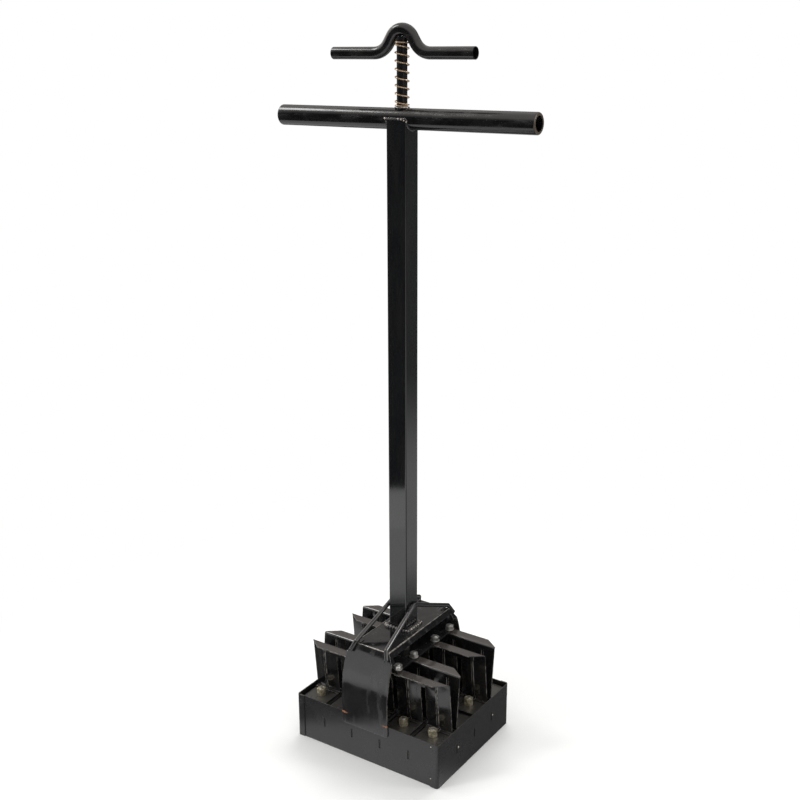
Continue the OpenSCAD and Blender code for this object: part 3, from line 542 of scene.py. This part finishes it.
def makeRail(number, look):
    # one comb: a flange, a band below it and five creased legs with a foot each
    side, dividerY = (-1, 1)[number % 2 == 0], (-1 if number <= 2 else 1) * size["pitch"]
    path = railSection(look)
    normals = []
    for i, p in enumerate(path):
        along = (path[min(i + 1, len(path) - 1)] - path[max(i - 1, 0)]).normalized()
        normals.append(Vector((-along.y, along.x)))
    # columns of the mesh: each leg's edges, two flat facets, and a narrow crest whose sides follow the creases
    across = [(-1, 1), (-1, 0.6), (-1, 0.25), (-1, 0.045), (-1, 0), (-1, -0.5), (0, 0), (1, -0.5), (1, 0), (1, 0.045),
              (1, 0.25), (1, 0.6), (1, 1)]
    legColumns = len(across)
    wide, high = legColumns * len(columnX), len(path)
    points = []
    for layer in (0, 1):
        for p, n in zip(path, normals):
            # the ridge fades out at the bend and above the foot
            down = min(1, max(0, (look["ridgeTop"] - p.y) / 9)) * min(1, max(0, (p.y - look["ridgeFoot"]) / 7))
            drop = (size["railTop"] - p.y) / (size["railTop"] - size["plateTop"])
            crest = (look["crestTop"] + (look["crestFoot"] - look["crestTop"]) * min(1, drop)) / 2
            for x in columnX:
                for way, part in across:
                    fromCentre = crest + part * (look["legHalf"] - crest) if part >= 0 else crest * (1 + part)
                    out = down * (look["ridge"] * (1 - max(part, 0)) + (look["crestRise"] if part <= 0 else 0))
                    q = p + n * look["sheet"] * layer
                    along = x + way * fromCentre
                    if abs(along) > size["railHalf"] - 0.1:
                        along = math.copysign(size["railHalf"], along)
                    # the flange's outer corners are cut off at a slant
                    cut = max(0, (p.x - look["bendY"] - 2) / (look["flange"] - 2)) if p.y > size["railTop"] - 2.5 else 0
                    ends = max(0, (abs(along) - look["cutFrom"]) / (size["railHalf"] - look["cutFrom"]))
                    along -= math.copysign(ends * look["cornerCut"] * cut, along)
                    points.append((along, dividerY + side * (q.x + out), q.y))

    def kept(row, column):
        # below the band the sheet is open between the legs
        if not (0 <= row < high - 1 and 0 <= column < wide - 1):
            return False
        return (column + 1) % legColumns != 0 or path[row + 1].y >= look["bandBottom"] - 0.1

    def at(layer, row, column):
        return layer * wide * high + row * wide + column

    faces = []
    for r in range(high - 1):
        for c in range(wide - 1):
            if not kept(r, c):
                continue
            loop = [(r, c), (r, c + 1), (r + 1, c + 1), (r + 1, c)]
            faces.append(tuple(at(0, *v) for v in loop))
            faces.append(tuple(at(1, *v) for v in reversed(loop)))
            neighbours = ((r - 1, c), (r, c + 1), (r + 1, c), (r, c - 1))
            for (a, b), beside in zip(((0, 1), (1, 2), (2, 3), (3, 0)), neighbours):
                if not kept(*beside):
                    faces.append((at(0, *loop[b]), at(0, *loop[a]), at(1, *loop[a]), at(1, *loop[b])))
    if side > 0:
        faces = [tuple(reversed(f)) for f in faces]
    rail = makeMesh("rail_" + str(number) + "_pressed_sheet", points, faces, railEnamel, "plunger", "black_paint",
                    ("ejector_rail_" + str(number),))
    rail.data.validate()
    # painted highlight: the free edges and both sides of the crest get a pale colour in thin lines
    nearEdge = {(1, False): 0.84, (0.045, False): 0.74, (0, False): 0.96, (-0.5, False): 0.76, (0, True): 0.4}

    def rubbedAndHighlight(row, way, part):
        if row == 0:
            return 0.9
        onCrest = abs(part) < 0.1 and path[row].y < 127
        return nearEdge.get((part, way == 0), 0.0) if onCrest or path[row].y <= look["bandBottom"] else 0.0

    markEdges(rail, [rubbedAndHighlight(row, way, part) for layer in (0, 1) for row in range(high) for x in columnX
                     for way, part in across])
    rail.data.set_sharp_from_angle(angle=math.radians(7))
    soften(rail, 0.55, 2, 50)


for number in (1, 2, 3, 4):
    makeRail(number, railLook)
print("rails ready")


def lathed(rows, steps):
    # a closed shape about the Z axis; each row is a height with a radius, or with a function of the angle
    points = []
    for z, radius in rows:
        for k in range(steps):
            a = 2 * math.pi * k / steps
            r = radius(a) if callable(radius) else radius
            points.append((r * math.cos(a), r * math.sin(a), z))
    faces = [(i * steps + k, i * steps + (k + 1) % steps, (i + 1) * steps + (k + 1) % steps, (i + 1) * steps + k)
             for i in range(len(rows) - 1) for k in range(steps)]
    top = (len(rows) - 1) * steps
    return points, faces + [tuple(range(steps - 1, -1, -1)), tuple(range(top, top + steps))]


def nutShape(flats, height, bore):
    # a hexagon nut with both faces chamfered and its thread mouth countersunk
    def hexagon(limit):
        return lambda a: min(flats / 2 / math.cos((a % (math.pi / 3)) - math.pi / 6), limit)
    face = flats / 2 * 0.97
    steps = (0.0, 0.12, 0.28, 0.5)
    rows = [(0, bore / 2 + 0.4)] + [(d, hexagon(face + d * 3)) for d in steps]
    rows += [(height - d, hexagon(face + d * 3)) for d in reversed(steps)]
    rows += [(height, bore / 2 + 0.4), (height - 0.4, bore / 2)]
    return lathed(rows, 60)


def studShape(diameter, low, high, threadFrom, pitch=1.0):
    # a round stud whose upper part is threaded, with a chamfered end
    def groove(z):
        return lambda a: diameter / 2 - 0.04 - 0.3 * abs(2 * ((z / pitch - a / (2 * math.pi)) % 1) - 1)
    rows = [(low, diameter / 2 - 0.05), (threadFrom, diameter / 2 - 0.05)]
    count = round((high - 0.5 - threadFrom) / (pitch / 5))
    rows += [(z, groove(z)) for z in (threadFrom + (i + 1) * pitch / 5 for i in range(count))]
    rows += [(high - 0.15, diameter / 2 - 0.5), (high, diameter / 2 - 0.8)]
    return lathed(rows, 30)


# nuts and heads as width across flats, height and bore
fastenerLook = {"boltX": 34.5, "boltRun": 7.0, "railNut": (10.0, 5.0, 6.2), "boltHead": (10.0, 4.0, 0.2),
                "pinNut": (11.0, 5.0, 6.2), "stud": 6.0, "boltEnd": 6.8, "pinEnd": 10.7}
boltPlaces = [(s * fastenerLook["boltX"], d * size["pitch"] + f * (railLook["bendY"] + fastenerLook["boltRun"]))
              for d in (-1, 1) for f in (-1, 1) for s in (-1, 1)]
cellPlaces = [(x, y) for y in rowY for x in columnX]


def makeGroup(name, shape, places, z, material, slot, turn, spread):
    # copies of one fastener, each turned its own way as it was tightened
    shapes = [moved(shape, (x, y, z), turn + rng.uniform(-spread, spread)) for x, y in places]
    piece = makeMesh(name + "_detailed", *joinShapes(shapes), material, "plunger", slot, (name,))
    piece.data.set_sharp_from_angle(angle=math.radians(25))


def makeFasteners(look):
    # the bolts that clamp the rails to the bar, and the pins and pairs of nuts on the press plates
    barTop, plateTop = size["barTop"], size["plateTop"]
    headZ = size["railTop"] - railLook["sheet"] - look["boltHead"][1]
    boltHead, railNut, pinNut = (nutShape(*look[part]) for part in ("boltHead", "railNut", "pinNut"))
    bolt = joinShapes([boltHead, studShape(look["stud"], 3.9, barTop + look["boltEnd"] - headZ, 12.0)])
    washer = lathed([(0, 3.1), (0, 5.9), (0.1, 6.0), (0.85, 6.0), (1.0, 5.8), (1.0, 3.1)], 48)
    pinRows = [(-12, 1.4), (-11.8, 2.2), (-11, 2.9), (-5.6, 4.7), (-5, 4.95), (-4.6, 5.0), (-2.05, 5.0),
               (-2.05, 2.95), (0, 2.95)]
    pin = joinShapes([lathed(pinRows, 32), studShape(look["stud"], -0.1, look["pinEnd"], 8.0)])
    for row in (
            ("rail_bolts", bolt, boltPlaces, headZ, brightZinc, "bright_zinc", 10, 30),
            ("rail_nuts", railNut, boltPlaces, barTop + 1, brightZinc, "bright_zinc", 20, 28),
            ("rail_washers", washer, boltPlaces, barTop, brightZinc, "bright_zinc", 0, 0),
            ("dibble_nuts", pinNut, cellPlaces, plateTop, yellowZinc, "yellow_zinc", 12, 8),
            ("dibble_lock_nuts", pinNut, cellPlaces, plateTop + look["pinNut"][1], yellowZinc, "yellow_zinc", 40, 8),
            ("dibble_pins", pin, cellPlaces, plateTop, brightZinc, "bright_zinc", 0, 180)):
        makeGroup(*row)


makeFasteners(fastenerLook)
print("fasteners ready")

springLook = {"turns": 9.5, "wire": 1.5, "radius": 8.2, "ringsPerTurn": 36, "sides": 14, "topRoom": 1.3,
              "keep": 0.286}


def makeSpring(look):
    # a coil with a closed turn at either end
    low = size["springLow"] + look["wire"] / 2 + 0.05
    high = size["springHigh"] - look["wire"] / 2 - look["topRoom"]
    flat = look["wire"] * 1.05
    rise = (high - low - 2 * flat) / (look["turns"] - 2)

    def height(turn):
        if turn < 1:
            return low + flat * turn
        if turn > look["turns"] - 1:
            return high - flat * (look["turns"] - turn)
        return low + flat + rise * (turn - 1)

    count = round(look["turns"] * look["ringsPerTurn"])
    path = []
    for i in range(count + 1):
        turn = i / look["ringsPerTurn"]
        z = sum(height(min(look["turns"], max(0, turn + d))) for d in (-0.12, -0.06, 0, 0.06, 0.12)) / 5
        path.append((look["radius"] * math.cos(2 * math.pi * turn), -look["radius"] * math.sin(2 * math.pi * turn), z))
    spring = makeMesh("coiled_return_spring", *sweptShape(path, lambda d: look["wire"] / 2, look["sides"]), springSteel,
                      "frame", "spring_wire", ("return_spring",))
    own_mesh(spring)


makeSpring(springLook)
print("spring ready")


def beadShape(corners, radius, every, closed=False, sides=12):
    # a weld bead: each ripple swells slowly and falls off sharply, a little unevenly
    path = spacedPath(list(corners) + ([corners[0]] if closed else []), every / 6)
    path = path[:-1] if closed else path
    unevenness = [rng.uniform(0.86, 1.1) for _ in range(400)]

    def radiusAt(distance):
        step, part = int(distance / every), distance / every % 1
        return radius * unevenness[step % 400] * (0.62 + 0.42 * part ** 0.7)

    points, faces = sweptShape(path, radiusAt, sides, closed)
    if not closed:
        points = taperEnds(points, sides, path)
    return points, faces


def taperEnds(points, sides, path):
    # draws the ends of a bead in
    out = []
    count = len(path)
    for i in range(count):
        near = min(i, count - 1 - i)
        factor = min(1, 0.35 + 0.2 * near)
        for k in range(sides):
            p, c = Vector(points[i * sides + k]), path[i]
            out.append(tuple(c + (p - c) * factor))
    return out


bridgeLook = {"halfTop": 27.0, "halfLeg": 36.5, "halfLength": 75.0, "cornerDrop": 14.0, "lipDrop": 7.0,
              "bendZ": 90.0, "legY": 94.3, "sheet": 2.5, "holeHalf": 7.5}


def bridgeBend(look):
    # the bend from a leg to the top: how far in it comes, how far up, and its radius
    reach, rise = look["legY"] - look["halfLength"], size["bridgeTop"] - look["bendZ"]
    return reach, rise, (reach ** 2 + rise ** 2) / (2 * reach)


def makeBridge(look):
    # the bent plate: two legs with a round bend, a flat top with cut corners, and a narrow lip along each side
    top, bendRadius = size["bridgeTop"], bridgeBend(look)[2]
    slope = look["cornerDrop"] / (look["halfLeg"] - look["halfTop"])
    lipX = look["halfTop"] + look["lipDrop"] / slope

    def legY(z):
        return look["legY"] - bendRadius + math.sqrt(bendRadius ** 2 - max(0, z - look["bendZ"]) ** 2)

    half = [0, look["holeHalf"], 15, 22, look["halfTop"], lipX, look["halfLeg"]]
    columns = [-x for x in reversed(half[1:])] + half
    legSteps, flat = 22, [72.5, 50, 25, look["holeHalf"]]
    along = [-y for y in flat] + list(reversed(flat))
    points = []
    for x in columns:
        edge = top - max(0, abs(x) - look["halfTop"]) * slope
        levels = [size["bridgeFoot"] + (edge - size["bridgeFoot"]) * i / legSteps for i in range(legSteps + 1)]
        points += [(x, -legY(z), z) for z in levels] + [(x, y, edge) for y in along]
        points += [(x, legY(z), z) for z in reversed(levels)]
    rows = 2 * (legSteps + 1) + len(along)
    faces = []
    for c in range(len(columns) - 1):
        for r in range(rows - 1):
            overMould = legSteps + 1 <= r < legSteps + len(along)
            outside = max(abs(columns[c]), abs(columns[c + 1])) > lipX + 0.1
            hole = abs(columns[c]) < 8 and abs(columns[c + 1]) < 8 and r == legSteps + len(along) // 2
            if (overMould and outside) or hole:
                continue
            a = c * rows + r
            faces.append((a, a + rows, a + rows + 1, a + 1))
    plate = makeMesh("bridge_bent_plate", points, faces, bridgeEnamel, "frame", "black_paint", ("bridge",))
    ends = (legSteps, rows - 1 - legSteps)

    # painted highlight: how much pale colour each point gets along the top's ends and edges and the legs' sides
    def rubbedAndHighlight(x, r):
        if r in ends and x <= look["halfTop"]:
            return 1.0
        if x == look["halfTop"] and ends[0] < r < ends[1]:
            return 0.98 - 0.018 * (r - ends[0])
        return 0.78 if x == look["halfLeg"] else 0.0

    markEdges(plate, [rubbedAndHighlight(abs(x), r) for x in columns for r in range(rows)])
    solid = plate.modifiers.new("sheet thickness", "SOLIDIFY")
    solid.thickness = look["sheet"] / 1000
    solid.offset = -1
    solid.use_even_offset = True
    soften(plate, 0.9, 3, 25)
    plate.modifiers.new("flat faces stay flat", "WEIGHTED_NORMAL").weight = 100


makeBridge(bridgeLook)
print("bridge ready")

weldLook = {"footRadius": 4.2, "footOut": 2.3, "footRipple": 4.2, "handleRadius": 1.8, "handleRipple": 2.4,
            "bridgeRadius": 1.3, "blobRadius": 2.5, "blobX": (-13.2, 4.0, 9.5, 13.4),
            "cornerRadius": 2.5, "lumps": 34, "lumpRadius": (1.9, 3.1),
            # painted glints: pale metal spots on the welds at the post's foot and under the handle: place and radius
            "paintedGlintSpots": [(-18.4, -17.4, 164.6, 2.2), (-15.3, -19.2, 164.8, 1.4), (-19.4, -13.4, 165.0, 1.3),
                          (5.8, -19.6, 164.8, 1.3), (19.4, -9.6, 164.8, 2.9), (19.9, -5.2, 164.8, 1.7),
                          (19.6, 1.4, 164.8, 3.0), (20.0, 5.4, 164.8, 1.9), (19.6, 11.0, 164.9, 2.6),
                          (18.9, 15.6, 164.9, 2.0), (-15.4, -14.4, 835.0, 3.4), (-9.6, -14.8, 835.0, 1.4),
                          (-4.8, -14.8, 834.8, 1.2), (4.4, -15.0, 834.6, 2.0), (8.4, -15.2, 834.2, 2.8),
                          (12.2, -15.2, 833.0, 2.4), (14.8, -13.6, 831.6, 2.6)]}


def makeWelds(look):
    # the lumpy ring round the post's foot, the bead where the handle sits in the post, and those under the bridge
    half, z = size["post"] / 2 + look["footOut"], size["bridgeTop"] + 0.8
    ring = []
    for quarter, (sx, sy) in enumerate(((1, -1), (1, 1), (-1, 1), (-1, -1))):
        for i in range(5):
            a, r = math.radians(-90 + quarter * 90 + i * 22.5), look["cornerRadius"]
            ring.append((sx * (half - r) + r * math.cos(a), sy * (half - r) + r * math.sin(a), z))
    # pale metal spots as painted glints
    glintSpots = []
    for x, y, high, radius in look["paintedGlintSpots"]:
        way = rng.uniform(0, 6.3)
        dx, dy = math.cos(way), math.sin(way)
        glintSpots.append(beadShape([(x - dx, y - dy, high), (x + dx, y + dy, high + 0.5)], radius, 5.0))
    makeMesh("painted_glint_spots", *joinShapes(glintSpots), glintMetal, "frame", "bright_zinc")
    lumps = []
    for k in range(look["lumps"]):
        along, out = rng.uniform(-half, half), half + rng.uniform(0.4, 1.6)
        x, y = ((along, -out), (out, along), (-out, along), (along, out))[k % 4]
        way = rng.uniform(0, 6.3)
        lumps.append(beadShape([(x - 1.5 * math.cos(way), y - 1.5 * math.sin(way), z + 0.8),
                                (x + 1.5 * math.cos(way), y + 1.5 * math.sin(way), z + 1.3)],
                               rng.uniform(*look["lumpRadius"]), 8.0))
    bead = beadShape(ring, look["footRadius"], look["footRipple"], True, 14)
    makeMesh("post_foot_bead", *joinShapes([bead] + lumps), weldEnamel, "frame", "painted_weld", ("post_foot_weld",))
    side, r = size["post"] / 2, size["handleRadius"] + 0.15
    ring = []
    for s in (1, -1):
        ring += [(-s * (side - 0.8), -s * (side - 0.1), size["handleAxis"] + 0.4),
                 (s * (side - 0.8), -s * (side - 0.1), size["handleAxis"] + 0.4)]
        ring += [(s * (side + 0.1), -s * r * math.cos(a), size["handleAxis"] - r * math.sin(a))
                 for a in (math.pi * (i + 0.5) / 14 for i in range(14))]
    bead = beadShape(ring, look["handleRadius"], look["handleRipple"], True)
    blobs = [beadShape([(x - 1.6, -side - 0.1, size["handleAxis"] + 0.4), (x + 1.6, -side - 0.1, size["handleAxis"])],
                       look["blobRadius"], 9.0) for x in look["blobX"]]
    makeMesh("handle_bead", *joinShapes([bead] + blobs), weldEnamel, "frame", "painted_weld", ("handle_weld",))
    under = [beadShape([(-34, s * (size["wallFace"] + 0.8), size["bridgeFoot"] - 0.5),
                        (34, s * (size["wallFace"] + 0.8), size["bridgeFoot"] - 0.5)], look["bridgeRadius"], 2.2)
             for s in (-1, 1)]
    makeMesh("bridge_foot_beads", *joinShapes(under), weldEnamel, "frame", "painted_weld", ("bridge_welds",))


makeWelds(weldLook)

braceLook = {"radius": 3.0, "corner": (24.0, 75.0), "hookDrop": 9.0, "hookSpread": 5.0, "top": 197.0,
             "hookBend": 1.5, "postBend": 10.0}


def makeBrace(side, look):
    # one round rod: hooked over the bridge's end, up to the post, and down again
    r, lift = look["radius"], look["radius"] + 0.15
    # the rod's ends lie on the bridge's round bend
    rise, bendRadius = bridgeBend(bridgeLook)[1:]
    tipLean, topLean = math.asin((rise - look["hookDrop"]) / bendRadius), math.asin(rise / bendRadius)
    tipY = bridgeLook["legY"] - bendRadius * (1 - math.cos(tipLean)) + lift / math.cos(tipLean)
    cornerY = look["corner"][1] + lift * math.tan(math.pi / 4 - topLean / 2)
    corner, tip = look["corner"][0], look["corner"][0] + look["hookSpread"]
    top = size["bridgeTop"] + lift
    corners = [(tip, -tipY, size["bridgeTop"] - look["hookDrop"]), (corner, -cornerY, top),
               (size["post"] / 2 + lift, 0, look["top"]), (corner, cornerY, top),
               (tip, tipY, size["bridgeTop"] - look["hookDrop"])]
    path = [Vector(corners[0])]
    bends = (look["hookBend"], look["postBend"], look["hookBend"])
    for a, b, c, bend in zip(corners[:-2], corners[1:-1], corners[2:], bends):
        path += roundedCorner(a, b, c, bend, 8)
    path.append(Vector(corners[-1]))
    path = [Vector((side * p.x, p.y, p.z)) for p in path]
    path = spacedPath(path, 3.0)
    word = "left" if side < 0 else "right"
    makeMesh(word + "_brace_bar", *sweptShape(path, lambda d: r, 24), postEnamel, "frame", "black_paint",
             (word + "_brace_rod",))
    x = side * (size["post"] / 2 + 0.8)
    tacks = [beadShape([(x, -9, look["top"] - 3.2), (x, -3, look["top"] - 1.6), (x, 3, look["top"] - 1.6),
                        (x, 9, look["top"] - 3.2)], look["radius"] * 0.62, 2.6)]
    for s in (-1, 1):
        tacks.append(beadShape([(side * (corner - 2.6), s * (cornerY - 3), size["bridgeTop"] + 0.6),
                                (side * (corner - 3.4), s * (cornerY - 13), size["bridgeTop"] + 0.8)], 1.7, 2.4))
    makeMesh(word + "_brace_tacks", *joinShapes(tacks), weldEnamel, "frame", "painted_weld")


for side in (-1, 1):
    makeBrace(side, braceLook)
print("welds and braces ready")

wallLook = {"spotHeights": (10.0, 54.0), "spotX": 108.8, "seamX": 103.75, "seamY": 92.15, "seamHeights": (0.9, 62.4),
            "seamRadius": 0.75,
            "tabX": 114.9, "tabZ": 38.0, "tabTack": 2.6, "cornerTackX": 104.0, "cornerTackHeights": (12.0, 59.0),
            "cornerTack": 1.5}


def makeWallMarks(look):
    # the dimples where the end walls are spot-welded to the long walls, the filled seams, and the tacks, whose pale
    # metal is a painted glint
    dimple = lathed([(-0.2, 2.9), (0.0, 2.9), (0.22, 2.5), (0.2, 2.1), (0.06, 1.4), (0.02, 0.4)], 28)
    spots = []
    for sx in (-1, 1):
        for sy in (-1, 1):
            for z in look["spotHeights"]:
                turned = [(px, sy * pz, py) for px, py, pz in dimple[0]]
                faces = dimple[1] if sy < 0 else [tuple(reversed(f)) for f in dimple[1]]
                spots.append(moved((turned, faces), (sx * look["spotX"], sy * size["wrapFace"], z)))
    makeMesh("wall_spot_welds", *joinShapes(spots), wallEnamel, "frame", "black_paint")
    seams = [beadShape([(sx * look["seamX"], sy * look["seamY"], z) for z in look["seamHeights"]],
                       look["seamRadius"], 9.0) for sx in (-1, 1) for sy in (-1, 1)]
    makeMesh("wall_seam_fill", *joinShapes(seams), wallEnamel, "frame", "black_paint")
    tacks = []
    for y in (-size["pitch"], size["pitch"]):
        for x in (-look["tabX"], look["tabX"]):
            ends = [(x, y + 2.4, look["tabZ"] - 3.8), (x, y + 3.2, look["tabZ"] - 1.2)]
            tacks.append(beadShape(ends, look["tabTack"], 5.0))
    x, y = look["cornerTackX"], 0.5 - size["wrapFace"]
    for z in look["cornerTackHeights"]:
        tacks.append(beadShape([(x - 1.4, y, z), (x + 0.9, y, z + 0.7)], look["cornerTack"], 4.0))
    # the tacks are real; their pale metal colour is a painted glint
    makeMesh("painted_glint_tacks", *joinShapes(tacks), glintMetal, "frame", "bright_zinc")


makeWallMarks(wallLook)
print("wall marks ready")
